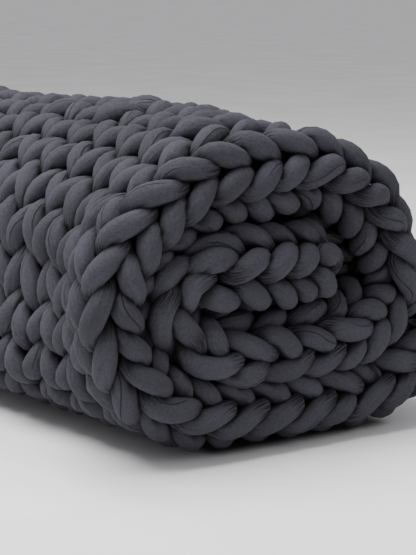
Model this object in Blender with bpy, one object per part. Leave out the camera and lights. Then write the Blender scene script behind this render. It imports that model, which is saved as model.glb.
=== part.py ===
"""Knitted weighted blanket, rolled up and lying on its side.

One closed solid: a thick cloth wound as a spiral round the Y axis, knit face outwards,
with its two selvedges rolled in at the ends of the roll and a flat spot where it lies.
Metres, +Z up. The origin is under the middle of the roll, on the surface that it lies on.
"""
from math import pi, radians

import bpy
import numpy as np

# ---------------------------------------------------------------- the cloth, laid flat
WALE_COUNT = 16            # columns of stitches across the blanket
WALE_PITCH = 0.066         # width of one column of stitches
YARN_DIAMETER = 0.030      # the stuffed jersey tube that the blanket is knitted from
CLOTH_THICKNESS = 0.056    # two yarns deep, pressed together
LAYER_GAP = 0.002          # room between two turns that lie on each other

# ---------------------------------------------------------------- the selvedges
ROLLED_IN = 0.133          # width of cloth that rolls in at each selvedge
CURL_RADIUS = 0.040        # radius at which the yarns turn in there
BACK_ROUND = 0.022         # radius of the selvedge's inner corner
LIP_REACH = 0.125          # how far along the roll a selvedge's lip shows on the back
NOSE_RADIUS = 0.026        # rounding of the cloth's two cut ends

ROLL_LENGTH = WALE_COUNT * WALE_PITCH - 2 * ROLLED_IN + 2 * CURL_RADIUS + YARN_DIAMETER

# ---------------------------------------------------------------- the spiral
# Centre lines of the arcs, seen from the front (+X right, +Z up), before centring.
SIDE_Z = 0.165             # height at which the roll is widest
FLOOR_RIGHT_X = 0.250      # the cloth touches the surface between these two
FLOOR_LEFT_X = 0.028
CROWN_X = 0.115            # the roll is highest here
CORE_X = 0.027             # centre of the inner hairpin turn
CORE_Z = 0.158
CORE_END_X = 0.178         # where the cloth ends inside the roll
CORE_SAG = 0.018           # how far the cloth's inner end has sunk there

INNER_CORNER = SIDE_Z - CLOTH_THICKNESS - LAYER_GAP
CORE_RADIUS = CORE_Z - CLOTH_THICKNESS - LAYER_GAP
HEIGHT = 0.357

# One row for each arc of the knit face, from the outer end to the core. Straight runs join them.
# start and end are degrees from +X, falling as the cloth winds clockwise.
# round is the radius of the selvedge's outer corner, lip is how far the rolled selvedge
# stands in from the back of the cloth, and recede is how far the cloth falls back behind the
# flared ends of the roll, all three at the arc's end.
SPIRAL_COLUMNS = ("name", "centre_x", "centre_z", "radius_x", "radius_z", "start", "end",
                  "round", "lip", "recede")
SPIRAL = (
    ("outer_end", FLOOR_RIGHT_X, SIDE_Z, SIDE_Z, SIDE_Z, -34, -90, 0.016, 0.000, 0.000),
    ("floor_corner", FLOOR_LEFT_X, SIDE_Z, SIDE_Z, SIDE_Z, -90, -180, 0.036, 0.003, 0.002),
    ("shoulder", CROWN_X, SIDE_Z, 0.252, HEIGHT - SIDE_Z, -180, -228, 0.040, 0.007, 0.005),
    ("crown", CROWN_X, SIDE_Z, 0.252, HEIGHT - SIDE_Z, -228, -270, 0.045, 0.028, 0.010),
    ("far_shoulder", CROWN_X, SIDE_Z, 0.242, HEIGHT - SIDE_Z, -270, -312, 0.040, 0.022, 0.030),
    ("far_side", CROWN_X, SIDE_Z, 0.242, HEIGHT - SIDE_Z, -312, -360, 0.036, 0.034, 0.033),
    ("second_corner", FLOOR_RIGHT_X, SIDE_Z, INNER_CORNER, INNER_CORNER, -360, -450,
     0.016, 0.008, 0.000),
    ("hairpin", CORE_X, CORE_Z, CORE_RADIUS, CORE_RADIUS, -450, -630, 0.042, 0.022, 0.000),
)
# Share of the receding at each distance from the nearer end of the roll.
RECEDE_COLUMNS = ("from_end", "share")
RECEDE = ((0.0, 0.0), (0.027, 0.0), (0.047, 0.35), (0.077, 1.0), (0.137, 1.0), (0.247, 0.35),
          (0.45, 0.1))
OUTER_END_ROUND = 0.016    # corner radius of the selvedge at the outer end of the cloth
DEGREES_PER_STEP = 12.0
STRAIGHT_STEP = 0.036
NOSE_STEPS = (0.002, 0.008, 0.020)

# The roll is a little uneven along its length, and its left side is drawn in behind the flared
# end. Each row gives the distance along the roll, the height against the plan's height and
# how far the left side is drawn in there.
UNEVEN_COLUMNS = ("along", "height", "drawn_in")
UNEVEN = (
    (0.000, 1.000, 0.000),
    (0.027, 1.000, 0.000),
    (0.061, 1.000, 0.014),
    (0.094, 1.000, 0.026),
    (0.127, 1.000, 0.040),
    (0.160, 1.000, 0.054),
    (0.200, 0.998, 0.064),
    (0.277, 0.998, 0.072),
    (0.391, 1.016, 0.082),
    (0.547, 0.990, 0.078),
    (0.720, 1.004, 0.060),
    (0.807, 0.998, 0.030),
    (0.893, 0.994, 0.000),
)
# Share of that drawing in at each height. It is whole left of the first of the two distances
# below and dies away towards the second.
DRAWN_COLUMNS = ("height", "share")
DRAWN = ((0.00, -0.55), (0.03, -0.30), (0.09, 0.45), (0.15, 1.00), (0.26, 0.90), (0.36, 0.55))
DRAWN_FULL_X = -0.020
DRAWN_NONE_X = 0.360

# Everything above the lap on the floor is carried this much higher than the plan.
CARRIED = 0.012
CARRIED_FROM_Z = 0.018
CARRIED_FULL_Z = 0.040

EDGE_STATIONS = (0.0, 0.005, 0.014, 0.030, 0.055, 0.085, LIP_REACH)
MIDDLE_STATIONS = 11

YARN_GREY = (0.046, 0.045, 0.056, 1.0)
YARN_ROUGHNESS = 0.9


def clear_scene():
    for thing in list(bpy.data.objects):
        bpy.data.objects.remove(thing, do_unlink=True)


def jersey_material():
    material = bpy.data.materials.new("charcoal_jersey_yarn")
    material.use_nodes = True
    shader = material.node_tree.nodes["Principled BSDF"]
    shader.inputs["Base Color"].default_value = YARN_GREY
    shader.inputs["Roughness"].default_value = YARN_ROUGHNESS
    shader.inputs["Metallic"].default_value = 0.0
    return material


def arc_points(row):
    """Points on one elliptic arc of the table."""
    steps = max(2, round(abs(row["end"] - row["start"]) / DEGREES_PER_STEP))
    angle = np.radians(np.linspace(row["start"], row["end"], steps + 1))
    x = row["centre_x"] + row["radius_x"] * np.cos(angle)
    z = row["centre_z"] + row["radius_z"] * np.sin(angle)
    return np.stack([x, z], axis=1)


def straight_points(start, end):
    """Points between two arcs, without the two ends."""
    steps = int(np.ceil(np.linalg.norm(end - start) / STRAIGHT_STEP))
    share = np.linspace(0.0, 1.0, steps + 1)[1:-1, None]
    return start + (end - start) * share


def distance_along(points):
    step = np.linalg.norm(np.diff(points, axis=0), axis=1)
    return np.concatenate([[0.0], np.cumsum(step)])


def spiral_path():
    """The knit face seen from the front: points, normals, corner radius, lip and receding."""
    rows = [dict(zip(SPIRAL_COLUMNS, row)) for row in SPIRAL]
    core_end = np.array([CORE_END_X, CORE_Z + CORE_RADIUS - CORE_SAG])
    pieces = []
    knots = [(0, OUTER_END_ROUND, 0.0, 0.0)]
    for row in rows:
        arc = arc_points(row)
        if pieces:
            last = pieces[-1][-1]
            if np.linalg.norm(arc[0] - last) < LAYER_GAP:
                arc = arc[1:]
            else:
                run = straight_points(last, arc[0])
                pieces.append(run)
                knots.append((sum(len(p) for p in pieces), *knots[-1][1:]))
        pieces.append(arc)
        knots.append((sum(len(p) for p in pieces) - 1, row["round"], row["lip"], row["recede"]))
    pieces.append(straight_points(pieces[-1][-1], core_end))
    pieces.append(core_end[None, :])
    points = np.concatenate(pieces)
    knots.append((len(points) - 1, *knots[-1][1:]))
    points, place = add_nose_points(points)
    index, corner, lip, recede = np.array(knots).T
    corner, lip, recede = (np.interp(place, index, knot) for knot in (corner, lip, recede))
    return points, outward_normals(points), corner, lip, recede


def add_nose_points(points):
    """Closely spaced points at both ends of the path, where the cloth's end is rounded."""
    first = points[0] - points[1]
    first = first / np.linalg.norm(first)
    last = points[-1] - points[-2]
    last = last / np.linalg.norm(last)
    tip = NOSE_STEPS[-1]
    head = [points[0] + first * (tip - step) for step in NOSE_STEPS[:-1]]
    tail = [points[-1] + last * (tip - step) for step in reversed(NOSE_STEPS[:-1])]
    index = np.arange(len(points), dtype=float)
    place = np.concatenate([[0.0] * len(head), index, [index[-1]] * len(tail)])
    return np.concatenate([head, points, tail]), place


def outward_normals(points):
    """Unit normals to the left of the direction of travel, which is away from the core."""
    tangent = np.gradient(points, axis=0)
    normal = np.stack([-tangent[:, 1], tangent[:, 0]], axis=1)
    return normal / np.linalg.norm(normal, axis=1, keepdims=True)


def rounding(distance, radius):
    """How far a corner of this radius pulls a face in, at this distance from the end."""
    inside = np.clip(radius - distance, 0.0, radius)
    return radius - np.sqrt(np.maximum(radius**2 - inside**2, 0.0))


def station_distances():
    """Distances along the roll of the sections that the solid is lofted through."""
    edge = np.array(EDGE_STATIONS)
    middle = np.linspace(LIP_REACH, ROLL_LENGTH - LIP_REACH, MIDDLE_STATIONS)[1:-1]
    return np.concatenate([edge, middle, ROLL_LENGTH - edge[::-1]])


def section(points, normals, corner, lip, recede, along):
    """Closed outline of the wound cloth at one distance along the roll."""
    edge = min(along, ROLL_LENGTH - along)
    path = distance_along(points)
    from_end = np.minimum(path, path[-1] - path) + NOSE_STEPS[0]
    nose = rounding(from_end, NOSE_RADIUS)
    fallen = recede * np.interp(edge, *np.array(RECEDE).T)
    points = points - normals * fallen[:, None]
    knit_in = np.maximum(rounding(edge, corner), nose)
    lip_share = 0.5 + 0.5 * np.cos(pi * min(1.0, edge / LIP_REACH))
    back_in = np.maximum(rounding(edge, BACK_ROUND), nose)
    depth = CLOTH_THICKNESS + lip * lip_share - back_in
    knit_face = points - normals * knit_in[:, None]
    back_face = points - normals * depth[:, None]
    outline = np.concatenate([knit_face, back_face[::-1]])
    return uneven(outline, along)


def uneven(outline, along):
    """The outline made slightly taller and drawn in from the left, with its underside kept."""
    place, height, drawn_in = np.array(UNEVEN).T
    x, z = outline.T
    share = np.interp(z, *np.array(DRAWN).T)
    share = share * np.clip((DRAWN_NONE_X - x) / (DRAWN_NONE_X - DRAWN_FULL_X), 0.0, 1.0)
    x = x + share * np.interp(along, place, drawn_in)
    z = z * np.interp(along, place, height)
    carried = np.clip((z - CARRIED_FROM_Z) / (CARRIED_FULL_Z - CARRIED_FROM_Z), 0.0, 1.0)
    return np.stack([x, z + CARRIED * carried], axis=1)


def roll_vertices():
    """All sections as one array of sections x outline points x 3, centred on the origin."""
    path = spiral_path()
    distances = station_distances()
    outlines = np.stack([section(*path, y) for y in distances])
    x = outlines[:, :, 0]
    y = np.repeat(distances[:, None], x.shape[1], axis=1)
    z = outlines[:, :, 1]
    x = x - 0.5 * (x.min() + x.max())
    y = y - 0.5 * ROLL_LENGTH
    return np.stack([x, y, z - z.min()], axis=2)


def skin_faces(sections, around):
    """Quads between neighbouring sections, facing out."""
    j, i = np.meshgrid(np.arange(sections - 1), np.arange(around), indexing="ij")
    following = (i + 1) % around
    quads = np.stack([j * around + i, j * around + following,
                      (j + 1) * around + following, (j + 1) * around + i], axis=2)
    return quads.reshape(-1, 4)


def cap_faces(sections, around):
    """Strips of quads across the cloth at both ends of the roll."""
    i = np.arange(around // 2 - 1)
    front = np.stack([around - 1 - i, around - 2 - i, i + 1, i], axis=1)
    back = front[:, ::-1] + (sections - 1) * around
    return np.concatenate([front, back])


def add_blanket(material):
    vertices = roll_vertices()
    sections, around = vertices.shape[:2]
    faces = np.concatenate([skin_faces(sections, around), cap_faces(sections, around)])
    mesh = bpy.data.meshes.new("blanket")
    mesh.from_pydata(vertices.reshape(-1, 3).tolist(), [], faces.tolist())
    mesh.materials.append(material)
    mesh.shade_smooth()
    mesh.set_sharp_from_angle(angle=radians(50.0))
    mesh.update()
    blanket = bpy.data.objects.new("blanket", mesh)
    bpy.context.collection.objects.link(blanket)
    return blanket


def main():
    clear_scene()
    add_blanket(jersey_material())


main()
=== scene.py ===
"""Knitted weighted blanket, rolled up: every row of its stuffed jersey yarn.

The blanket is stocking stitch. Its rows are worked out on a flat cloth, the cloth is wound
into the roll with its selvedges curling in at both ends, and the yarns are then settled
against each other as soft round tubes. Metres, +Z up, the roll's axis along Y.
"""
from collections import namedtuple
from math import cos, pi, radians, sin

import bpy
import numpy as np
from bpy.props import FloatProperty, FloatVectorProperty, IntProperty, PointerProperty
from mathutils import Matrix, Vector


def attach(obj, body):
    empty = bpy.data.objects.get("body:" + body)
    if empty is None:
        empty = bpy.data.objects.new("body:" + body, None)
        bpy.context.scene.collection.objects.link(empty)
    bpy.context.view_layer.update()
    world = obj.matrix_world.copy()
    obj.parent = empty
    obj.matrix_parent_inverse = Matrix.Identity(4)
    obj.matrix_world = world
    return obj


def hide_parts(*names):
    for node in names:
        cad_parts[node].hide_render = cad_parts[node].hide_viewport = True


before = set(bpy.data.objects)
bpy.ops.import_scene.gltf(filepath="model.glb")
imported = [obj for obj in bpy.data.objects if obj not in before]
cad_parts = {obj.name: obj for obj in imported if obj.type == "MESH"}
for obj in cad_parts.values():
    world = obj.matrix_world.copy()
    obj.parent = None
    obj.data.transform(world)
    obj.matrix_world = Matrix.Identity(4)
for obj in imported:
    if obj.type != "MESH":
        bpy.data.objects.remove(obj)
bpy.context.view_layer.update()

bl_info = {
    "name": "Rolled knitted weighted blanket",
    "version": (1, 0, 0),
    "blender": (4, 5, 0),
    "location": "3D View > Sidebar > Blanket",
    "description": "Chunky stuffed-yarn blanket in stocking stitch, rolled up",
    "category": "Object",
}

# -------- the roll
# Plan of the spiral before it is centred: the frame's axis stands at ROLL_CENTRE, an x and y.
ROLL_CENTRE = (0.1268, 0.423)
ROLL_LENGTH = 0.866
CROWN_X = 0.115
# The corners of the spiral, from the outer end of the cloth inwards. Angles are in degrees.
Arc = namedtuple("Arc", "name centre_x centre_z radius_x radius_z start end")
ARCS = (
    Arc("outer_end", 0.250, 0.165, 0.165, 0.165, -30, -90),
    Arc("floor_corner", 0.028, 0.165, 0.165, 0.165, -90, -180),
    Arc("shoulder", CROWN_X, 0.165, 0.252, 0.192, -180, -270),
    Arc("far_side", CROWN_X, 0.165, 0.242, 0.192, -270, -360),
    Arc("second_corner", 0.250, 0.165, 0.107, 0.107, -360, -450),
    Arc("hairpin", 0.027, 0.158, 0.100, 0.100, -450, -630),
)
ARC_POINTS = 200
CORE_END = (0.215, 0.258)
CURVE_STEP = 0.001
FACE_INSET = 0.0145
CORNER_SOFTENING = 0.050

# The roll is a little taller in places, and its left side is drawn in behind the flared end.
UNEVEN_COLUMNS = ("along", "height", "drawn_in")
UNEVEN = (
    (0.000, 1.000, 0.000),
    (0.034, 1.000, 0.014),
    (0.067, 1.000, 0.026),
    (0.100, 1.000, 0.040),
    (0.133, 1.003, 0.054),
    (0.173, 1.008, 0.064),
    (0.250, 1.010, 0.072),
    (0.364, 1.010, 0.082),
    (0.520, 0.984, 0.078),
    (0.693, 0.994, 0.060),
    (0.780, 0.986, 0.030),
    (0.866, 0.986, 0.000),
)
# Share of that drawing in at each height, and the stretch of width over which it dies away.
DRAWN_COLUMNS = ("height", "share")
DRAWN = ((0.00, -0.55), (0.03, -0.30), (0.09, 0.45), (0.15, 1.00), (0.26, 0.90), (0.36, 0.55))
DRAWN_FULL_X = -0.020
DRAWN_NONE_X = 0.360
# Everything above the lap on the floor is carried this much higher.
CARRIED = 0.012
CARRIED_FROM_Z = 0.018
CARRIED_FULL_Z = 0.040

# -------- the selvedges
# For each row: radius of the curl, distance from the selvedge at which the cloth starts to turn
# in, how far that row is drawn back from the end of the roll, the furthest turn in radians and
# how far the very selvedge is tucked further in.
SELVEDGE_COLUMNS = ("row", "curl", "turn_in", "back", "furthest", "tuck")
SELVEDGE = (
    (-1.0, 0.021, 0.105, 0.008, 3.3, 0.000),
    (0.0, 0.020, 0.105, 0.008, 3.3, 0.000),
    (5.0, 0.020, 0.105, 0.008, 3.3, 0.000),
    (6.0, 0.0205, 0.108, 0.007, 3.3, 0.000),
    (7.0, 0.0255, 0.116, 0.005, 3.3, 0.000),
    (8.0, 0.0297, 0.123, 0.006, 3.3, 0.000),
    (9.0, 0.0353, 0.138, 0.003, 3.3, 0.000),
    (10.0, 0.0383, 0.147, 0.001, 3.3, 0.000),
    (11.0, 0.041, 0.154, 0.000, 3.3, 0.000),
    (12.0, 0.047, 0.158, 0.000, 3.3, 0.000),
    (15.0, 0.050, 0.160, 0.000, 3.3, 0.010),
    (17.0, 0.050, 0.160, 0.000, 3.3, 0.024),
    (18.0, 0.045, 0.153, 0.001, 3.3, 0.024),
    (19.0, 0.034, 0.135, 0.004, 3.4, 0.024),
    (24.0, 0.033, 0.1325, 0.004, 3.4, 0.024),
    (25.0, 0.032, 0.129, 0.005, 3.0, 0.012),
    (26.0, 0.0268, 0.115, 0.007, 2.45, 0.000),
    (27.0, 0.018, 0.091, 0.012, 2.45, 0.000),
    (30.0, 0.0185, 0.092, 0.012, 2.45, 0.000),
    (31.0, 0.028, 0.119, 0.007, 3.0, 0.000),
    (32.0, 0.0415, 0.155, 0.000, 3.3, 0.000),
    (33.0, 0.043, 0.156, 0.000, 3.3, 0.000),
    (34.0, 0.044, 0.134, 0.003, 3.3, 0.034),
    (39.5, 0.044, 0.132, 0.003, 3.3, 0.034),
)
# Where turn_in is LOOSE_TURN_IN, the turn starts LOOSE_TURN_AT from the roll's end. The far
# end stands FAR_MARGIN short of ROLL_LENGTH.
LOOSE_TURN_IN = 0.154
LOOSE_TURN_AT = 0.040
FAR_MARGIN = 0.032
# The tuck fades over this width, and lifts the selvedge by this share of itself.
TUCKED_WIDTH = 0.045
TUCKED_RISE = 0.4

# -------- the rows
ROW_COUNT = 39
COLUMN_COUNT = 16
NODES_PER_STITCH = 16
TURN_NODES = 3
FIRST_ROW_AT = 0.111
NEUTRAL_DEPTH = 0.036
# Where rows lie ahead of even spacing, how far they stand proud of the even spiral, and how
# far they recede behind the flared ends.
EASE_COLUMNS = ("row", "ahead", "proud", "recede")
EASE = (
    (0.0, 0.012, -0.005, 0.000),
    (2.5, 0.002, -0.002, 0.000),
    (6.0, 0.014, -0.006, 0.000),
    (9.0, 0.005, -0.004, 0.004),
    (11.0, -0.003, 0.000, 0.006),
    (12.0, -0.006, 0.004, 0.006),
    (14.0, -0.006, -0.003, 0.004),
    (16.0, 0.000, -0.002, 0.001),
    (17.0, 0.000, -0.003, 0.001),
    (18.0, 0.000, -0.005, 0.005),
    (20.0, -0.006, -0.005, 0.034),
    (22.0, -0.012, -0.008, 0.048),
    (24.0, -0.014, -0.006, 0.036),
    (26.0, -0.021, -0.008, 0.006),
    (30.0, -0.016, -0.003, 0.000),
    (32.0, -0.004, 0.000, 0.000),
    (33.0, 0.006, -0.002, 0.000),
    (34.0, 0.020, -0.016, 0.004),
    (36.5, 0.016, -0.017, 0.032),
    (37.0, 0.010, -0.013, 0.034),
    (38.0, -0.025, -0.019, 0.034),
    (39.3, -0.058, -0.030, 0.030),
)
# Share of the receding at each distance from the nearer end of the roll.
RECEDE_COLUMNS = ("from_end", "share")
RECEDE = ((0.0, 0.0), (0.02, 0.35), (0.05, 1.0), (0.11, 1.0), (0.22, 0.35), (0.433, 0.1))
# How much the stitches differ: across the cloth, in rows and in their height over the cloth.
UNEVEN_ACROSS = 0.0030
UNEVEN_ROWS = 0.07
UNEVEN_LIFT = 0.0025
# Rows to a piece, and the nodes by which a piece runs on into the next one.
ROWS_PER_PIECE = 8
PIECE_OVERLAP = 2

# Chains at the two cut edges: the row they lie at, how many rows a link swings to each side
# and how far they lie behind the legs.
Edge = namedtuple("Edge", "name row swing behind")
EDGES = (
    Edge("cast_on_edge", -1.25, 0.34, 0.006),
    Edge("bind_off_edge", 38.7, 0.16, 0.030),
)
LINK_REACH = 0.045
LINK_DEPTH = 0.011

# -------- settling
# How firmly legs, loops and the links of a chain keep the place that the cloth gives them.
LEG_HOLD = 0.08
LOOP_HOLD = 0.004
LINK_HOLD = 0.08
# Yarns touch at CONTACT times the sum of their radii. Each round makes these shares of the
# moves that would part touching yarns, restore lengths and even out bends.
CONTACT = 0.95
CONTACT_SHARE = 0.4
STRETCH_SHARE = 0.4
BENDING_SHARE = 0.15
# Pairs nearer than PAIR_REACH and more than PAIR_SKIP nodes apart are looked up again after
# PAIR_ROUNDS rounds. Separate strands are numbered STRAND_GAP apart.
PAIR_REACH = 0.036
PAIR_SKIP = 3
PAIR_ROUNDS = 25
STRAND_GAP = 100
# The yarn's own length as a share of its length on the wound cloth.
SLACK = 0.93
# How far yarn may reach past each end of ROLL_LENGTH, and the least height of its middle over
# the floor in radii.
END_ROOM = 0.024
FLOOR_ROOM = 1.20
# These gaps between the yarns are darkened in the jersey with painted shade.
# Gaps are looked for between nodes nearer than GAP_REACH and more than GAP_SKIP apart, and
# reach from a yarn's surface to GAP_FAR radii from its middle.
GAP_REACH = 0.046
GAP_SKIP = 5
GAP_FAR = 1.55
TINY = 1e-9

# -------- the tubes
# Drawn a little fatter than settled, so that yarns that touch press into each other.
DRAWN_RADIUS = 1.03
RINGS_PER_NODE = 2
TUBE_SIDES = 16
ROUNDED_RINGS = 4
LUMP_RINGS = 12
LUMP_SIZE = 0.045

# -------- the jersey
# Noises on the yarn: their cells in a metre along it, and how far they change round it.
YarnNoise = namedtuple("YarnNoise", "along around")
PATCHES = YarnNoise(7.0, 0.6)
STREAKS = YarnNoise(420.0, 5.0)
GATHERS = YarnNoise(16.0, 3.4)
CREASES = YarnNoise(30.0, 1.2)
# Noises in space, in cells to a metre.
SLOW_CELLS = 9.0
GRAIN_CELLS = 900.0
# What each part adds to the tone, and to the height of the surface in metres.
TONE = {"slow": 1.2, "patches": 0.8, "grain": 1.0, "streaks": 1.3}
HEIGHT = {"tucks": 0.018, "creases": 0.0020, "slow": 0.001, "seam": 0.0006,
          "grain": 0.00025, "wales": 0.00002, "courses": 0.000012}
# The seam winds round the yarn by up to SEAM_TURNS, and shows where a second noise is high.
SEAM_CELLS = 1.7
SEAM_TURNS = 3.0
SEAM_EDGE = (0.004, 0.014)
SEAM_SHOWS_CELLS = 11.0
SEAM_SHOWS = (0.48, 0.56)
# Folds and tucks lie where GATHERS crosses its middle, and show where the yarn is pinched.
# The folds are painted shade, thin dark lines in the yarn's colour; the tucks are bumps.
FOLD_SHADE_EDGE = (0.008, 0.055)
FOLD_SHADE_PINCH = (0.08, 0.45)
FOLD_SHADE_DEPTH = 0.85
TUCK_PINCH = (0.08, 0.60)
# The painted shade in the gaps comes in between these depths of a gap.
GAP_SHADE_EDGE = (0.15, 0.95)
# The seam, and the painted shade in folds and gaps, take this share of the yarn's colour.
SEAM_AND_SHADE_SHARE = 0.12
GRAIN_ROUGHNESS = 0.12
# The jersey's own knit: wales round the yarn, the height of a course and its zigzag.
KNIT_WALES = 76.0
KNIT_COURSE = 0.0013
KNIT_ZIGZAG = 0.8

# -------- the stage
# The floor is shaded under the roll, to SHADE_HALF_WIDTH either side of SHADE_X and over
# SHADE_HALF_LENGTH each way, and faintly further out on the left.
SHADE_X = 0.04
SHADE_HALF_WIDTH = 0.110
SHADE_HALF_LENGTH = 0.40
SHADE_EDGE = 0.030
SHADE_DEPTH = 0.92
SHADED_FLOOR_SHARE = 0.10
LEFT_SHADE_EDGE = (0.13, 0.28)
LEFT_SHADE_X = (-0.24, -0.16)
LEFT_SHADE_DEPTH = 0.20
CLOUD_CELLS = 3.5
CLOUD_EDGE = (0.3, 0.7)
CLOUD_TONES = (0.95, 1.04)
FLOOR_SIDES = 96

Lamp = namedtuple("Lamp", "name x y z aim_z width share")
LAMPS = (
    Lamp("overhead", -0.7, 0.2, 2.4, 0.10, 2.0, 1.0),
    Lamp("front_fill", 1.2, -2.6, 1.8, 0.15, 1.8, 0.10),
)
ROOM_COLOUR = (0.62, 0.62, 0.64, 1.0)

# The camera looks along its azimuth from +Y towards +X, and falls below the level. Degrees,
# and the lens in millimetres.
CameraPlace = namedtuple("CameraPlace", "azimuth fall lens x y z")
CAMERA = CameraPlace(35.0, 9.7, 116.4, -1.17413, -1.96164, 0.51948)
SENSOR_WIDTH = 36.0


# ======== sizes and finishes
class BlanketSizes(bpy.types.PropertyGroup):
    """Sizes of the knitting."""

    column_pitch: FloatProperty(
        name="Column pitch", description="Width of one column of stitches",
        default=0.066, min=0.04, max=0.10, unit="LENGTH")
    row_pitch: FloatProperty(
        name="Row pitch", description="Distance from one row to the next",
        default=0.0432, min=0.03, max=0.07, unit="LENGTH")
    leg_radius: FloatProperty(
        name="Yarn radius", description="Radius of the stuffed yarn in the legs of a stitch",
        default=0.0132, min=0.008, max=0.02, unit="LENGTH")
    loop_radius: FloatProperty(
        name="Pinched radius", description="Radius of the yarn where it loops round another",
        default=0.0085, min=0.006, max=0.02, unit="LENGTH")
    stitch_height: FloatProperty(
        name="Stitch height", description="Half height of a stitch in row pitches",
        default=0.88, min=0.5, max=1.2)
    stitch_lean: FloatProperty(
        name="Stitch lean", description="How far a leg leans under the next stitch",
        default=0.0135, min=0.0, max=0.03, unit="LENGTH")
    stitch_depth: FloatProperty(
        name="Stitch depth", description="Half of the depth between legs and loops",
        default=0.0145, min=0.005, max=0.03, unit="LENGTH")
    unevenness: FloatProperty(
        name="Unevenness", description="How much the stitches differ from each other",
        default=1.0, min=0.0, max=2.0, subtype="FACTOR")
    settling: IntProperty(
        name="Settling steps", description="Rounds in which the yarns press each other apart",
        default=200, min=10, max=600)
    seed: IntProperty(
        name="Seed", description="Start of the random numbers", default=3)


class BlanketFinish(bpy.types.PropertyGroup):
    """Colour and feel of the stuffed jersey yarn."""

    yarn_colour: FloatVectorProperty(
        name="Yarn colour", description="Colour of the jersey", subtype="COLOR", size=3,
        default=(0.0465, 0.045, 0.0565), min=0.0, max=1.0)
    tone_change: FloatProperty(
        name="Tone change", description="Share by which the tone wanders along the yarn",
        default=0.12, min=0.0, max=0.5, subtype="FACTOR")
    seam_depth: FloatProperty(
        name="Seam", description="How dark the seam along the yarn shows",
        default=0.65, min=0.0, max=1.0, subtype="FACTOR")
    # Painted shade: how dark the yarn's colour is made in the gaps between yarns.
    gap_shade_depth: FloatProperty(
        name="Gaps", description="How dark the cloth is in the gaps between the yarns",
        default=0.93, min=0.0, max=1.0, subtype="FACTOR")
    roughness: FloatProperty(
        name="Roughness", description="Roughness of the jersey",
        default=0.86, min=0.0, max=1.0, subtype="FACTOR")
    sheen: FloatProperty(
        name="Sheen", description="Weight of the soft nap",
        default=0.01, min=0.0, max=1.0, subtype="FACTOR")


class StudioSettings(bpy.types.PropertyGroup):
    """Floor and light."""

    floor_colour: FloatVectorProperty(
        name="Floor colour", description="Colour of the floor", subtype="COLOR", size=3,
        default=(0.93, 0.93, 0.93), min=0.0, max=1.0)
    floor_radius: FloatProperty(
        name="Floor radius", description="Radius of the round floor",
        default=60.0, min=2.0, max=200.0, unit="LENGTH")
    overhead_power: FloatProperty(
        name="Overhead power", description="Power of the big overhead light in watts",
        default=140.0, min=0.0, max=1000.0)
    room_brightness: FloatProperty(
        name="Room brightness", description="Strength of the light from all round",
        default=0.80, min=0.0, max=5.0)


# ======== numpy helpers
def read_off(table, columns, name, at):
    """A named column of a table, read at those places in its first column by straight lines."""
    known = np.array([row[0] for row in table], float)
    values = np.array([row[columns.index(name)] for row in table], float)
    return np.interp(at, known, values)


def unit(vectors):
    """The vectors, each divided by its length."""
    return vectors / np.maximum(np.linalg.norm(vectors, axis=-1, keepdims=True), TINY)


def run_length(points):
    """Distance along a line of points, starting at nought."""
    steps = np.linalg.norm(np.diff(points, axis=0), axis=1)
    return np.concatenate([[0.0], np.cumsum(steps)])


def along_line(at, distance, points):
    """The places at those distances along a plane line, by straight lines."""
    return np.stack([np.interp(at, distance, points[:, i]) for i in (0, 1)], axis=-1)


def softened(points, width):
    """A plane line smoothed by a raised-cosine window, with its ends carried straight on."""
    half = width // 2
    window = np.hanning(2 * half + 3)[1:-1]
    window = window / window.sum()
    head = 2 * points[:1] - points[half:0:-1]
    tail = 2 * points[-1:] - points[-2:-half - 2:-1]
    longer = np.concatenate([head, points, tail])
    return np.stack([np.convolve(longer[:, i], window, "valid") for i in (0, 1)], axis=1)


def turned_out(points):
    """Unit normals of a plane line, to the left of the way it runs."""
    along = np.gradient(points, axis=0)
    return unit(np.stack([-along[:, 1], along[:, 0]], axis=1))


# ======== the wound cloth
class RollCurve:
    """The middle line of the front legs, seen along the roll's axis.

    The knit face runs along the arcs of the table, joined by straight lines: each arc is
    centre + radius * (cos a, sin a). The middle line lies FACE_INSET inside it and is
    softened, so that corners turn gradually. A row's number becomes a distance along the
    neutral line, which lies deeper in the cloth.
    """

    def __init__(self, row_pitch):
        corners = []
        for arc in ARCS:
            turn = np.radians(np.linspace(arc.start, arc.end, ARC_POINTS))
            corners.append(np.stack([arc.centre_x + arc.radius_x * np.cos(turn),
                                     arc.centre_z + arc.radius_z * np.sin(turn)], axis=1))
        face = np.concatenate(corners + [np.array([CORE_END])])
        distance, first = np.unique(run_length(face), return_index=True)
        even = np.arange(0.0, distance[-1], CURVE_STEP)
        face = along_line(even, distance, face[first])
        middle = face - turned_out(face) * FACE_INSET
        self.points = softened(middle, int(CORNER_SOFTENING / CURVE_STEP))
        self.normals = turned_out(self.points)
        self.distance = run_length(self.points)
        self.neutral = run_length(self.points - self.normals * NEUTRAL_DEPTH)
        self.row_pitch = row_pitch
        self.row_nought = np.interp(FIRST_ROW_AT, self.distance, self.neutral) - row_pitch

    def at_row(self, row):
        """Point on the middle line, normal and receding for each row number.

        deep = row_nought + row * row pitch is the distance along the neutral line. The same
        place on the middle line is moved ahead and proud as the table says, and past either
        end of the line it runs straight on.
        """
        ahead, proud, recede = (read_off(EASE, EASE_COLUMNS, name, row)
                                for name in ("ahead", "proud", "recede"))
        deep = self.row_nought + row * self.row_pitch
        distance = np.interp(deep, self.neutral, self.distance) + ahead
        inside = np.clip(distance, 0.0, self.distance[-1])
        over = distance - inside + np.maximum(deep - self.neutral[-1], 0.0) + np.minimum(deep, 0.0)
        point = along_line(inside, self.distance, self.points)
        normal = unit(along_line(inside, self.distance, self.normals))
        onward = np.stack([normal[..., 1], -normal[..., 0]], axis=-1)
        point = point + onward * over[..., None] + normal * proud[..., None]
        return point, normal, recede


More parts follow.
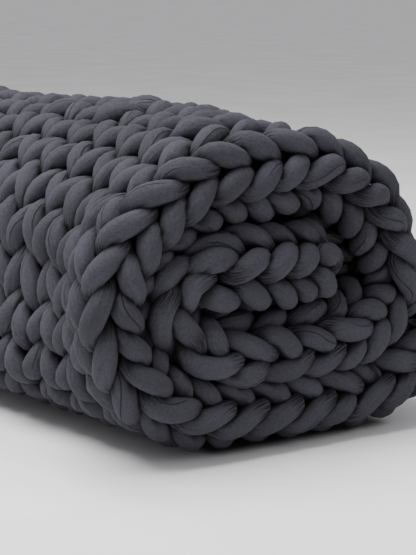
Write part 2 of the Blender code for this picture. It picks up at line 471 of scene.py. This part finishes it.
def reshaped(x, y, z):
    """Makes the even roll uneven and moves it to the frame's axis.

    x moves by drawn_in(y) * share(z), fading to nought between DRAWN_FULL_X and DRAWN_NONE_X.
    z is multiplied by height(y), and what lies above the lap on the floor is then raised by
    CARRIED, which comes in between CARRIED_FROM_Z and CARRIED_FULL_Z.
    """
    share = read_off(DRAWN, DRAWN_COLUMNS, "share", z)
    share = share * np.clip((DRAWN_NONE_X - x) / (DRAWN_NONE_X - DRAWN_FULL_X), 0.0, 1.0)
    x = x + share * read_off(UNEVEN, UNEVEN_COLUMNS, "drawn_in", y)
    z = z * read_off(UNEVEN, UNEVEN_COLUMNS, "height", y)
    z = z + CARRIED * np.clip((z - CARRIED_FROM_Z) / (CARRIED_FULL_Z - CARRIED_FROM_Z), 0.0, 1.0)
    return np.stack([x - ROLL_CENTRE[0], y - ROLL_CENTRE[1], z], axis=-1)


def wound(curve, row, across, lift, width):
    """Places cloth coordinates in the roll, with the cloth's outward normals there.

    row counts rows, across is the distance from the first selvedge and lift the height above
    the plane of the front legs. The cloth runs straight along Y. From turn_in before each
    selvedge it turns in round an arc of the curl radius, up to the furthest turn, and then
    runs straight again. Within TUCKED_WIDTH of the selvedge it is tucked further in and
    lifted by TUCKED_RISE of that. below is the depth under the middle line, and grows by the
    row's receding times its share at that distance from the roll's end.
    """
    point, normal, recede = curve.at_row(row)
    curl, turn_in, back, furthest, tuck = (
        read_off(SELVEDGE, SELVEDGE_COLUMNS, name, row)
        for name in ("curl", "turn_in", "back", "furthest", "tuck"))
    inward = np.minimum(across, width - across)
    turn = np.maximum((turn_in - inward) / curl, 0.0)
    arc = np.minimum(turn, furthest)
    beyond = (turn - arc) * curl
    flat_y = LOOSE_TURN_AT + inward - LOOSE_TURN_IN + back
    curl_y = LOOSE_TURN_AT + turn_in - LOOSE_TURN_IN + back - curl * np.sin(arc)
    from_end = np.where(turn > 0.0, curl_y, flat_y) - beyond * np.cos(arc) - lift * np.sin(arc)
    below = curl * (1.0 - np.cos(arc)) + beyond * np.sin(arc) - lift * np.cos(arc)
    tucked = tuck * np.clip(1.0 - inward / TUCKED_WIDTH, 0.0, 1.0)
    from_end = from_end + tucked
    below = below - tucked * TUCKED_RISE
    far = across > width / 2
    y = np.where(far, ROLL_LENGTH - FAR_MARGIN - from_end, from_end)
    normal_y = np.where(far, np.sin(arc), -np.sin(arc))
    nearer_end = np.minimum(y, ROLL_LENGTH - y)
    below = below + recede * read_off(RECEDE, RECEDE_COLUMNS, "share", nearer_end)
    places = reshaped(point[..., 0] - normal[..., 0] * below, y,
                      point[..., 1] - normal[..., 1] * below)
    faces = np.stack([normal[..., 0] * np.cos(arc), normal_y, normal[..., 1] * np.cos(arc)],
                     axis=-1)
    return places, unit(faces)


# ======== the yarn
class Yarn:
    """All nodes of the blanket's yarns, and which of them follow each other.

    points are the nodes, faces the cloth's outward normals there, radius the yarn's radius,
    hold how firmly a node keeps its place, pinch how much the yarn is gathered there, and
    strands the node numbers in knitting order. row_starts says where in the strand of rows
    each row starts. settled and neighbours are the nodes' final places, and the pairs of
    nodes that lie near each other there.
    """

    def __init__(self, seed):
        self.random = np.random.default_rng(seed)
        self.points = np.zeros((0, 3))
        self.faces = np.zeros((0, 3))
        self.radius = np.zeros(0)
        self.hold = np.zeros(0)
        self.pinch = np.zeros(0)
        self.strands = {}
        self.row_starts = np.zeros(0, int)
        self.settled = np.zeros((0, 3))
        self.neighbours = (np.zeros(0, int), np.zeros(0, int))

    def add(self, points, faces, radius, hold, pinch):
        """Adds nodes and returns their numbers."""
        start = len(self.points)
        self.points = np.concatenate([self.points, points])
        self.faces = np.concatenate([self.faces, faces])
        self.radius = np.concatenate([self.radius, radius])
        self.hold = np.concatenate([self.hold, hold])
        self.pinch = np.concatenate([self.pinch, pinch])
        return np.arange(start, len(self.points))


def stitch_turns():
    """The turn t of each node across the cloth: one whole turn to a column."""
    return np.arange(COLUMN_COUNT * NODES_PER_STITCH + 1) * 2 * pi / NODES_PER_STITCH


def leg_share(turn):
    """0.5 - 0.5 cos 2t: 1 in the middle of a leg and 0 where the yarn loops."""
    return 0.5 - 0.5 * np.cos(2 * turn)


def yarn_radius(sizes, legs):
    """The yarn's radius, from pinched in the loops to full in the legs."""
    return sizes.loop_radius + (sizes.leg_radius - sizes.loop_radius) * legs


def wander(random, turn, size):
    """A random number for each half stitch of each row, joined by straight lines."""
    knots = np.arange(COLUMN_COUNT * 2 + 1)
    heights = random.normal(0.0, size, (ROW_COUNT, len(knots)))
    return np.stack([np.interp(turn / pi, knots, one) for one in heights])


def knit_rows(sizes, curve, yarn):
    """Stocking stitch: each stitch is one turn t of a flat looping line.

    across = column pitch * t / 2 pi + lean * sin 2t, row = its number + height * cos t and
    lift = -depth * (1 + cos 2t), so that legs lie in front and loops behind, each a little
    uneven. At a selvedge the yarn turns into the next row, so that all rows are one yarn.
    """
    width = COLUMN_COUNT * sizes.column_pitch
    turn = stitch_turns()
    number = np.arange(ROW_COUNT)[:, None]
    uneven_across = wander(yarn.random, turn, UNEVEN_ACROSS * sizes.unevenness)
    uneven_row = wander(yarn.random, turn, UNEVEN_ROWS * sizes.unevenness)
    uneven_lift = wander(yarn.random, turn, UNEVEN_LIFT * sizes.unevenness)
    across = sizes.column_pitch * turn / (2 * pi) + sizes.stitch_lean * np.sin(2 * turn)
    across = np.clip(across + uneven_across, 0.0, width)
    row = number + sizes.stitch_height * np.cos(turn) + uneven_row
    lift = uneven_lift - sizes.stitch_depth * (1 + np.cos(2 * turn))
    places, faces = wound(curve, row, across, lift, width)
    legs = np.broadcast_to(leg_share(turn), row.shape)
    hold = LOOP_HOLD + (LEG_HOLD - LOOP_HOLD) * legs ** 2
    places = places.reshape(-1, 3)
    faces = faces.reshape(-1, 3)
    numbers = yarn.add(places, faces, yarn_radius(sizes, legs).ravel(), hold.ravel(),
                       (1 - legs).ravel())
    numbers = numbers.reshape(row.shape)
    numbers[1::2] = numbers[1::2, ::-1]
    share = np.linspace(0.0, 1.0, TURN_NODES + 2)[1:-1][None, :, None]
    leave = places[numbers[:-1, -1]][:, None]
    enter = places[numbers[1:, 0]][:, None]
    side = np.repeat(faces[numbers[:-1, -1]], TURN_NODES, axis=0)
    turns = (leave * (1 - share) + enter * share).reshape(-1, 3)
    plain = np.ones(len(turns))
    turn_numbers = yarn.add(turns, side, plain * sizes.loop_radius, plain * LOOP_HOLD, plain)
    turn_numbers = turn_numbers.reshape(ROW_COUNT - 1, TURN_NODES)
    lines = np.concatenate([numbers[:-1], turn_numbers], axis=1)
    yarn.strands["rows"] = np.concatenate([lines.ravel(), numbers[-1]])
    yarn.row_starts = np.arange(ROW_COUNT) * lines.shape[1]


def edge_chain(sizes, curve, yarn, edge):
    """A chain of one link to each column along a cut edge of the cloth.

    across = column pitch * t / 2 pi + reach * (1 - cos t), row = the edge's row + swing *
    sin t and lift = -behind - depth * (1 + cos 2t), so that the legs of the links lie in
    front and their heads and feet behind.
    """
    width = COLUMN_COUNT * sizes.column_pitch
    turn = stitch_turns()
    across = sizes.column_pitch * turn / (2 * pi) - LINK_REACH * np.cos(turn) + LINK_REACH
    across = np.clip(across, 0.0, width)
    row = edge.row + edge.swing * np.sin(turn)
    lift = -edge.behind - LINK_DEPTH * (1 + np.cos(2 * turn))
    places, faces = wound(curve, row, across, lift, width)
    legs = leg_share(turn)
    yarn.strands[edge.name] = yarn.add(places, faces, yarn_radius(sizes, legs),
                                       LOOP_HOLD + LINK_HOLD * legs ** 2, 1 - legs)


# ======== settling
def close_pairs(points, order, reach, skip):
    """Pairs of nodes closer than reach and more than skip nodes apart along the yarn.

    The nodes are sorted into cubes of the reach's size, and each is compared with the nodes
    of the 27 cubes round it.
    """
    count = len(points)
    cube = np.floor(points / reach).astype(int)
    cube -= cube.min(axis=0) - 1
    deep, tall = cube.max(axis=0)[1:] + 2
    key = (cube[:, 0] * deep + cube[:, 1]) * tall + cube[:, 2]
    by_key = np.argsort(key, kind="stable")
    sorted_key = key[by_key]
    firsts = []
    seconds = []
    for step in np.ndindex(3, 3, 3):
        beside = key + ((step[0] - 1) * deep + step[1] - 1) * tall + step[2] - 1
        low = np.searchsorted(sorted_key, beside, "left")
        size = np.searchsorted(sorted_key, beside, "right") - low
        first = np.repeat(np.arange(count), size)
        start = np.repeat(low - np.concatenate([[0], np.cumsum(size)[:-1]]), size)
        second = by_key[np.arange(size.sum()) + start]
        wanted = (first < second) & (np.abs(order[first] - order[second]) > skip)
        first = first[wanted]
        second = second[wanted]
        near = ((points[first] - points[second]) ** 2).sum(axis=1) < reach ** 2
        firsts.append(first[near])
        seconds.append(second[near])
    return np.concatenate(firsts), np.concatenate(seconds)


def gathered(numbers, values, count):
    """The sum of the values that belong to each node."""
    return np.stack([np.bincount(numbers, values[:, i], minlength=count) for i in range(3)],
                    axis=1)


def parting(points, radius, first, second):
    """Moves that press touching yarns apart.

    Each node of a pair is pushed by half of what they overlap, and a node that n others
    touch makes CONTACT_SHARE * 2 / sqrt n of the sum of its pushes.
    """
    count = len(points)
    apart = points[second] - points[first]
    length = np.linalg.norm(apart, axis=1) + TINY
    pressed = CONTACT * (radius[first] + radius[second]) - length
    touching = pressed > 0
    push = apart[touching] * (pressed[touching] / length[touching] * 0.5)[:, None]
    moves = gathered(second[touching], push, count) - gathered(first[touching], push, count)
    touches = (np.bincount(first[touching], minlength=count)
               + np.bincount(second[touching], minlength=count))
    return moves * (CONTACT_SHARE * 2 / np.sqrt(np.maximum(touches, 1)))[:, None]


def restoring(points, before, after, rest):
    """Moves that bring each length of yarn back towards its own, half at each end."""
    count = len(points)
    apart = points[after] - points[before]
    length = np.linalg.norm(apart, axis=1)[:, None] + TINY
    pull = apart * (rest - length) / length * 0.5 * STRETCH_SHARE
    return gathered(after, pull, count) - gathered(before, pull, count)


def knitting_order(yarn):
    """A running number for each node along its strand, with a wide gap between strands."""
    order = np.zeros(len(yarn.points), int)
    position = 0
    for strand in yarn.strands.values():
        order[strand] = np.arange(len(strand)) + position
        position += len(strand) + STRAND_GAP
    return order


def settle(yarn, rounds):
    """Lets the yarns find their place, round after round.

    Two yarns nearer than the sum of their radii press each other apart, each length of yarn
    pulls back to its own length, bends are evened out by a quarter of the fourth difference
    of the nodes, and nodes are drawn to where the cloth put them, legs more than loops.
    Nothing sinks into the floor or past the ends.
    """
    points = yarn.points.copy()
    home = yarn.points
    radius = yarn.radius
    hold = yarn.hold[:, None]
    order = knitting_order(yarn)
    strands = list(yarn.strands.values())
    before = np.concatenate([strand[:-1] for strand in strands])
    after = np.concatenate([strand[1:] for strand in strands])
    middle, back, ahead, far_back, far_ahead = (
        np.concatenate([strand[2 + k:len(strand) - 2 + k] for strand in strands])
        for k in (0, -1, 1, -2, 2))
    rest = np.linalg.norm(points[after] - points[before], axis=1)[:, None] * SLACK
    lowest = radius * FLOOR_ROOM
    end_limit = ROLL_LENGTH / 2 + END_ROOM
    for number in range(rounds):
        if number % PAIR_ROUNDS == 0:
            first, second = close_pairs(points, order, PAIR_REACH, PAIR_SKIP)
        points += parting(points, radius, first, second)
        points += restoring(points, before, after, rest)
        bend = (points[back] + points[ahead] - 1.5 * points[middle]
                - 0.25 * (points[far_back] + points[far_ahead]))
        points[middle] += BENDING_SHARE * bend
        points += hold * (home - points)
        points[:, 2] = np.maximum(points[:, 2], lowest)
        points[:, 1] = np.clip(points[:, 1], radius - end_limit, end_limit - radius)
    first, second = close_pairs(points, order, GAP_REACH, GAP_SKIP)
    yarn.neighbours = np.concatenate([first, second]), np.concatenate([second, first])
    yarn.settled = points


# ======== tubes
def between(values, count):
    """Catmull-Rom points: count of them for each step from one value to the next."""
    first = 2 * values[:1] - values[1:2]
    last = 2 * values[-1:] - values[-2:-1]
    longer = np.concatenate([first, values, last])
    share = (np.arange(count) / count).reshape((1, count) + (1,) * (values.ndim - 1))
    a, b, c, d = (longer[k:len(longer) - 3 + k][:, None] for k in range(4))
    curve = 0.5 * (2 * b + (c - a) * share + (2 * a - 5 * b + 4 * c - d) * share ** 2
                   + (3 * b - 3 * c + d - a) * share ** 3)
    flat = curve.reshape((-1,) + values.shape[1:])
    return np.concatenate([flat, values[-1:]])


def gaps(rings, numbers, yarn):
    """How deep each ring point lies in a gap: 1 where it touches another yarn, 0 in the open.

    The distance to the nearest node of any other yarn is divided by that yarn's radius, and
    falls smoothly from 1 at the surface to nought at GAP_FAR radii.
    """
    place = np.full(len(yarn.settled), -1)
    place[numbers] = np.arange(len(numbers))
    own, other = yarn.neighbours
    here = place[own] >= 0
    own = place[own[here]]
    other = other[here]
    by_ring = np.argsort(own, kind="stable")
    own = own[by_ring]
    other = other[by_ring]
    away = np.linalg.norm(rings[own] - yarn.settled[other][:, None], axis=2)
    away = away / yarn.radius[other][:, None]
    rings_met, first = np.unique(own, return_index=True)
    nearest = np.full(rings.shape[:2], np.inf)
    nearest[rings_met] = np.minimum.reduceat(away, first, axis=0)
    share = np.clip((GAP_FAR - nearest) / (GAP_FAR - 1.0), 0.0, 1.0)
    return share * share * (3 - 2 * share)


def tube(numbers, yarn):
    """A closed round tube along the nodes of those numbers.

    Ring k is its point plus radius * (cos a * up + sin a * side), where up is the cloth's
    normal made square to the yarn. The radius is a little lumpy along the yarn, and over the
    first and last rings it shrinks as a quarter circle to a point.
    """
    line = between(yarn.settled[numbers], RINGS_PER_NODE)
    up = between(yarn.faces[numbers], RINGS_PER_NODE)
    size = between(yarn.radius[numbers], RINGS_PER_NODE) * DRAWN_RADIUS
    pinch = between(yarn.pinch[numbers], RINGS_PER_NODE)
    along = unit(np.gradient(line, axis=0))
    side = unit(np.cross(along, up))
    up = np.cross(side, along)
    number = np.arange(len(line))
    knots = np.arange(0, len(line) + LUMP_RINGS, LUMP_RINGS)
    lumps = np.interp(number, knots, yarn.random.normal(0.0, LUMP_SIZE, len(knots)))
    from_tip = np.minimum(np.minimum(number, number[::-1]) / ROUNDED_RINGS, 1.0)
    size = size * (1 + lumps) * np.sqrt(1 - (1 - from_tip) ** 2)
    angle = np.arange(TUBE_SIDES) * 2 * pi / TUBE_SIDES
    ring = (np.cos(angle)[None, :, None] * up[:, None]
            + np.sin(angle)[None, :, None] * side[:, None])
    rings = line[:, None] + ring * size[:, None, None]
    # The gap mark says where the jersey gets painted shade between the yarns.
    gap = between(gaps(rings[::RINGS_PER_NODE], numbers, yarn), RINGS_PER_NODE)
    vertices = np.concatenate([rings[1:-1].reshape(-1, 3), line[:1], line[-1:]])
    marks = {
        "pinch": np.concatenate([np.repeat(pinch[1:-1], TUBE_SIDES), pinch[[0, -1]]]),
        "gap": np.concatenate([gap[1:-1].ravel(), gap[[0, -1], 0]]),
    }
    return vertices, marks, run_length(line)


def tube_skin(distances):
    """The faces of a tube whose rings and tips lie at those distances, and their UV map.

    Quads run between the rings and a fan of triangles closes each end, all turned outwards.
    Corner k of a face lies on the ring's point turn modulo the sides, and its UV is the
    distance along the yarn in metres and turn / sides.
    """
    rings = len(distances) - 2
    i, j = np.meshgrid(np.arange(rings - 1), np.arange(TUBE_SIDES), indexing="ij")
    ring = np.stack([i, i + 1, i + 1, i], axis=-1).reshape(-1, 4)
    turn = np.stack([j, j, j + 1, j + 1], axis=-1).reshape(-1, 4)
    quads = ring * TUBE_SIDES + turn % TUBE_SIDES
    step = np.arange(TUBE_SIDES)
    following = (step + 1) % TUBE_SIDES
    tip = np.full(TUBE_SIDES, rings * TUBE_SIDES)
    last = (rings - 1) * TUBE_SIDES
    start = np.stack([tip, step, following], axis=1)
    start_turn = np.stack([step + 0.5, step, step + 1], axis=1)
    end = np.stack([tip + 1, last + following, last + step], axis=1)
    end_turn = np.stack([step + 0.5, step + 1, step], axis=1)
    corners = np.concatenate([quads.ravel(), start.ravel(), end.ravel()])
    turns = np.concatenate([turn.ravel(), start_turn.ravel(), end_turn.ravel()])
    reach = np.concatenate([np.repeat(distances[1:-1], TUBE_SIDES), distances[[0, -1]]])
    faces = quads.tolist() + start.tolist() + end.tolist()
    return faces, np.stack([reach[corners], turns / TUBE_SIDES], axis=1)


def placed(name, data):
    """A new object in the scene that holds that data."""
    thing = bpy.data.objects.new(name, data)
    bpy.context.collection.objects.link(thing)
    return thing


def tube_object(name, vertices, marks, distances, material):
    """Puts a tube into a mesh, with its UV map and its marks as attributes."""
    faces, uv = tube_skin(distances)
    mesh = bpy.data.meshes.new(name)
    mesh.from_pydata(vertices.tolist(), [], faces)
    layer = mesh.uv_layers.new(name="yarn")
    layer.data.foreach_set("uv", uv.astype(np.float32).ravel())
    for mark, values in marks.items():
        attribute = mesh.attributes.new(mark, "FLOAT", "POINT")
        attribute.data.foreach_set("value", values.astype(np.float32))
    mesh.polygons.foreach_set("use_smooth", np.ones(len(mesh.polygons), bool))
    mesh.materials.append(material)
    mesh.update()
    return placed(name, mesh)


# ======== shader arithmetic
class Term:
    """A shader socket that takes part in ordinary arithmetic."""

    def __init__(self, bench, socket):
        self.bench = bench
        self.socket = socket

    def math(self, operation, *others):
        """A Math node of that operation on this term and the others."""
        return self.bench.math(operation, self, *others)

    def __add__(self, other):
        return self.math("ADD", other)

    __radd__ = __add__

    def __mul__(self, other):
        return self.math("MULTIPLY", other)

    __rmul__ = __mul__

    def __sub__(self, other):
        return self.math("SUBTRACT", other)

    def __rsub__(self, other):
        return self.bench.math("SUBTRACT", other, self)

    def smooth(self, low, high):
        """0 below low, 1 above high and smooth between them."""
        return self.bench.node("ShaderNodeMapRange", {"interpolation_type": "SMOOTHSTEP"},
                               {"Value": self, "From Min": low, "From Max": high,
                                "To Min": 0.0, "To Max": 1.0})


class Bench:
    """Builds one material's nodes."""

    def __init__(self, name):
        self.material = bpy.data.materials.new(name)
        self.material.use_nodes = True
        self.tree = self.material.node_tree
        self.shader = next(n for n in self.tree.nodes if n.type == "BSDF_PRINCIPLED")

    def node(self, kind, settings, values, output=0):
        """A node of that type with its settings, its inputs linked or set, as a Term."""
        node = self.tree.nodes.new(kind)
        for name, setting in settings.items():
            setattr(node, name, setting)
        for key, value in values.items():
            if isinstance(value, Term):
                self.tree.links.new(value.socket, node.inputs[key])
            else:
                node.inputs[key].default_value = value
        return Term(self, node.outputs[output])

    def feed(self, name, term):
        """Links a term to one of the shader's inputs."""
        self.tree.links.new(term.socket, self.shader.inputs[name])

    def constant(self, name, value):
        """Sets one of the shader's own sockets."""
        self.shader.inputs[name].default_value = value

    def math(self, operation, *values):
        """A Math node of that operation on terms and numbers."""
        return self.node("ShaderNodeMath", {"operation": operation}, dict(enumerate(values)))

    def place(self):
        """The point's place in metres, from the piece's own origin."""
        return self.node("ShaderNodeTexCoord", {}, {}, output="Object")

    def part_of(self, vector, axis):
        """The X, Y or Z of a vector."""
        return self.node("ShaderNodeSeparateXYZ", {}, {0: vector}, output=axis)

    def mark(self, name):
        """The number that a mesh attribute holds."""
        return self.node("ShaderNodeAttribute", {"attribute_name": name}, {}, output="Fac")

    def noise(self, vector, scale, detail, roughness=0.5):
        """Noise from 0 to 1 round 0.5."""
        return self.node("ShaderNodeTexNoise", {},
                         {"Vector": vector, "Scale": scale, "Detail": detail,
                          "Roughness": roughness})

    def vector(self, x, y, z):
        """A vector from three terms or numbers."""
        return self.node("ShaderNodeCombineXYZ", {}, {0: x, 1: y, 2: z})

    def blend(self, share, first, second):
        """A colour between two colours."""
        return self.node("ShaderNodeMix", {"data_type": "RGBA"},
                         {0: share, 6: first, 7: second}, output=2)


def scaled(colour, share):
    """A colour times that share, opaque."""
    return (*(channel * share for channel in colour), 1.0)


def stuffed_jersey(finish):
    """Dark jersey drawn over filling.

    The tone wanders slowly, a thin seam line winds along the yarn and shows in places, fine
    ridges gather where the yarn is pinched, and the knitted grain runs along the tube. Painted
    shade darkens the colour in thin lines along the folds and in the gaps between yarns.
    """
    bench = Bench("stuffed_jersey")
    place = bench.place()
    yarn_map = bench.node("ShaderNodeUVMap", {"uv_map": "yarn"}, {})
    along = bench.part_of(yarn_map, "X")
    around = bench.part_of(yarn_map, "Y")
    pinch = bench.mark("pinch")
    gap = bench.mark("gap")
    ring_x = (around * (2 * pi)).math("COSINE")
    ring_y = (around * (2 * pi)).math("SINE")

    def on_yarn(cells):
        """A noise that follows the yarn and closes round it."""
        return bench.noise(bench.vector(along * cells.along, ring_x * cells.around,
                                        ring_y * cells.around), 1.0, detail=2.0)

    def along_yarn(cells, y, z):
        """A noise along the yarn alone. y and z keep one such noise apart from another."""
        return bench.noise(bench.vector(along * cells, y, z), 1.0, detail=1.0)

    slow = bench.noise(place, SLOW_CELLS, detail=3.0)
    grain = bench.noise(place, GRAIN_CELLS, detail=2.0, roughness=0.6)
    tone = ((slow - 0.5) * TONE["slow"] + (on_yarn(PATCHES) - 0.5) * TONE["patches"]
            + (grain - 0.5) * TONE["grain"] + (on_yarn(STREAKS) - 0.5) * TONE["streaks"])

    seam_place = along_yarn(SEAM_CELLS, 0.0, 4.0) * SEAM_TURNS
    seam_off = ((around - seam_place).math("FRACT") - 0.5).math("ABSOLUTE")
    seam_shows = along_yarn(SEAM_SHOWS_CELLS, 7.0, 0.0).smooth(*SEAM_SHOWS)
    seam = (1.0 - seam_off.smooth(*SEAM_EDGE)) * seam_shows
    fold_off = (on_yarn(GATHERS) - 0.5).math("ABSOLUTE")
    fold_shade = (1.0 - fold_off.smooth(*FOLD_SHADE_EDGE)) * pinch.smooth(*FOLD_SHADE_PINCH)

    colour = finish.yarn_colour
    dark = scaled(colour, 1 - 2 * finish.tone_change)
    light = scaled(colour, 1 + 2 * finish.tone_change)
    body = bench.blend((tone + 0.5).smooth(0.0, 1.0), dark, light)
    # Painted shade in the folds and in the gaps between yarns, joined with the real seam.
    lines = (seam * finish.seam_depth).math("MAXIMUM", fold_shade * FOLD_SHADE_DEPTH)
    lines = lines.math("MAXIMUM", gap.smooth(*GAP_SHADE_EDGE) * finish.gap_shade_depth)
    bench.feed("Base Color", bench.blend(lines, body, scaled(colour, SEAM_AND_SHADE_SHARE)))
    bench.feed("Roughness", finish.roughness + (grain - 0.5) * GRAIN_ROUGHNESS)
    bench.constant("Sheen Weight", finish.sheen)
    bench.constant("Sheen Roughness", 0.45)
    bench.constant("Specular IOR Level", 0.12)

    tucks = fold_off * pinch.smooth(*TUCK_PINCH)
    wales = (around * (2 * pi * KNIT_WALES)).math("SINE")
    courses = (along * (2 * pi / KNIT_COURSE) + wales * KNIT_ZIGZAG).math("SINE")
    height = (tucks * HEIGHT["tucks"] + on_yarn(CREASES) * HEIGHT["creases"]
              + (slow - 0.5) * HEIGHT["slow"] - seam * HEIGHT["seam"]
              + grain * HEIGHT["grain"] + wales * HEIGHT["wales"]
              + courses * HEIGHT["courses"])
    bump = bench.node("ShaderNodeBump", {}, {"Strength": 1.0, "Distance": 1.0,
                                             "Height": height})
    bench.feed("Normal", bump)
    bench.material.diffuse_color = scaled(colour, 1.0)
    return bench.material


def pale_floor(studio):
    """Pale matt floor with faint clouds, a little darker where the roll shades it.

    away is the distance from the shaded oblong under the roll: the root of beside squared
    plus before squared.
    """
    bench = Bench("pale_floor")
    place = bench.place()
    x = bench.part_of(place, "X")
    y = bench.part_of(place, "Y")
    clouds = bench.noise(place, CLOUD_CELLS, detail=5.0, roughness=0.6).smooth(*CLOUD_EDGE)
    colour = studio.floor_colour
    body = bench.blend(clouds, scaled(colour, CLOUD_TONES[0]), scaled(colour, CLOUD_TONES[1]))
    beside = ((x - SHADE_X).math("ABSOLUTE") - SHADE_HALF_WIDTH).math("MAXIMUM", 0.0)
    before = (y.math("ABSOLUTE") - SHADE_HALF_LENGTH).math("MAXIMUM", 0.0)
    away = (beside * beside + before * before).math("SQRT")
    near = (1.0 - away.smooth(0.0, SHADE_EDGE)) * SHADE_DEPTH
    left = ((1.0 - away.smooth(*LEFT_SHADE_EDGE)) * (1.0 - x.smooth(*LEFT_SHADE_X))
            * LEFT_SHADE_DEPTH)
    shade = near.math("MAXIMUM", left)
    bench.feed("Base Color", bench.blend(shade, body, scaled(colour, SHADED_FLOOR_SHARE)))
    bench.constant("Roughness", 0.8)
    bench.constant("Specular IOR Level", 0.05)
    return bench.material


# ======== making the pieces
_yarns = {}


def settled_yarn(sizes):
    """The settled yarn of the whole blanket, worked out once for each set of sizes."""
    key = tuple(getattr(sizes, name) for name in sizes.__annotations__)
    if key not in _yarns:
        curve = RollCurve(sizes.row_pitch)
        yarn = Yarn(sizes.seed)
        knit_rows(sizes, curve, yarn)
        for edge in EDGES:
            edge_chain(sizes, curve, yarn, edge)
        settle(yarn, sizes.settling)
        _yarns[key] = yarn
    return _yarns[key]


def make_piece(name, yarn, strand, finish):
    """Makes one piece of yarn and ties it to the frame."""
    material = bpy.data.materials.get("stuffed_jersey") or stuffed_jersey(finish)
    vertices, marks, distances = tube(strand, yarn)
    piece = tube_object(name, vertices, marks, distances, material)
    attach(piece, "root")
    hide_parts("blanket")


class BLANKET_OT_knit_rows(bpy.types.Operator):
    """Knits all rows of the rolled blanket, a few rows to a piece"""

    bl_idname = "blanket.knit_rows"
    bl_label = "Knit the rows"

    def execute(self, context):
        yarn = settled_yarn(context.scene.blanket_sizes)
        rows = yarn.strands["rows"]
        for first in range(0, ROW_COUNT, ROWS_PER_PIECE):
            following = min(first + ROWS_PER_PIECE, ROW_COUNT)
            stop = len(rows)
            if following < ROW_COUNT:
                stop = yarn.row_starts[following] + PIECE_OVERLAP
            name = f"knit_rows_{first:02d}_to_{following - 1:02d}"
            make_piece(name, yarn, rows[yarn.row_starts[first]:stop],
                       context.scene.blanket_finish)
        return {"FINISHED"}


class BLANKET_OT_edge_chains(bpy.types.Operator):
    """Makes the cast-on and bind-off chains at the two cut edges"""

    bl_idname = "blanket.edge_chains"
    bl_label = "Make the edge chains"

    def execute(self, context):
        yarn = settled_yarn(context.scene.blanket_sizes)
        for edge in EDGES:
            make_piece(edge.name, yarn, yarn.strands[edge.name], context.scene.blanket_finish)
        return {"FINISHED"}


class BLANKET_OT_stage(bpy.types.Operator):
    """Lays the floor and sets the lights and the camera"""

    bl_idname = "blanket.stage"
    bl_label = "Set the stage"

    def execute(self, context):
        studio = context.scene.blanket_studio
        lay_floor(studio)
        light_the_room(studio)
        place_camera()
        return {"FINISHED"}


def lay_floor(studio):
    """A flat disc round the roll: each point is radius * (cos a, sin a, 0)."""
    angle = np.arange(FLOOR_SIDES) * 2 * pi / FLOOR_SIDES
    rim = np.stack([np.cos(angle), np.sin(angle), np.zeros(FLOOR_SIDES)], axis=1)
    mesh = bpy.data.meshes.new("floor")
    mesh.from_pydata((rim * studio.floor_radius).tolist(), [], [list(range(FLOOR_SIDES))])
    mesh.materials.append(pale_floor(studio))
    placed("floor", mesh)


def light_the_room(studio):
    """Soft area lights from the table and even light from all round."""
    for lamp in LAMPS:
        light = bpy.data.lights.new(lamp.name, "AREA")
        light.size = lamp.width
        light.energy = studio.overhead_power * lamp.share
        holder = placed(lamp.name, light)
        holder.location = (lamp.x, lamp.y, lamp.z)
        aim = Vector((0.0, 0.0, lamp.aim_z)) - holder.location
        holder.rotation_euler = aim.to_track_quat("-Z", "Y").to_euler()
    world = bpy.data.worlds.new("room")
    bpy.context.scene.world = world
    world.use_nodes = True
    background = world.node_tree.nodes["Background"]
    background.inputs["Color"].default_value = ROOM_COLOUR
    background.inputs["Strength"].default_value = studio.room_brightness


def place_camera():
    """Long lens, low on the left, looking across the near end of the roll."""
    azimuth = radians(CAMERA.azimuth)
    fall = radians(CAMERA.fall)
    look = Vector((sin(azimuth) * cos(fall), cos(azimuth) * cos(fall), -sin(fall)))
    right = Vector((cos(azimuth), -sin(azimuth), 0.0))
    up = right.cross(look)
    camera = placed("camera", bpy.data.cameras.new("camera"))
    camera.matrix_world = Matrix((
        (right.x, up.x, -look.x, CAMERA.x),
        (right.y, up.y, -look.y, CAMERA.y),
        (right.z, up.z, -look.z, CAMERA.z),
        (0.0, 0.0, 0.0, 1.0),
    ))
    camera.data.sensor_width = SENSOR_WIDTH
    camera.data.lens = CAMERA.lens
    camera.data.dof.use_dof = False
    bpy.context.scene.camera = camera


class BLANKET_PT_sidebar(bpy.types.Panel):
    """Buttons and settings of the rolled blanket"""

    bl_idname = "BLANKET_PT_sidebar"
    bl_label = "Rolled blanket"
    bl_space_type = "VIEW_3D"
    bl_region_type = "UI"
    bl_category = "Blanket"

    def draw(self, context):
        for group_name in GROUPS:
            group = getattr(context.scene, group_name)
            box = self.layout.box()
            for name in group.__annotations__:
                box.prop(group, name)
        for operator in OPERATORS:
            self.layout.operator(operator.bl_idname)


OPERATORS = (BLANKET_OT_stage, BLANKET_OT_knit_rows, BLANKET_OT_edge_chains)
GROUPS = {
    "blanket_sizes": BlanketSizes,
    "blanket_finish": BlanketFinish,
    "blanket_studio": StudioSettings,
}


def register():
    """Registers the settings, the operators and the panel."""
    for name, group in GROUPS.items():
        bpy.utils.register_class(group)
        setattr(bpy.types.Scene, name, PointerProperty(type=group))
    for thing in (*OPERATORS, BLANKET_PT_sidebar):
        bpy.utils.register_class(thing)


def unregister():
    """Takes back what register did, in the opposite order."""
    for thing in (BLANKET_PT_sidebar, *reversed(OPERATORS)):
        bpy.utils.unregister_class(thing)
    for name, group in reversed(GROUPS.items()):
        delattr(bpy.types.Scene, name)
        bpy.utils.unregister_class(group)


def main():
    """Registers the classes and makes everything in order."""
    register()
    bpy.ops.blanket.stage()
    bpy.ops.blanket.knit_rows()
    bpy.ops.blanket.edge_chains()


if __name__ == "__main__":
    main()
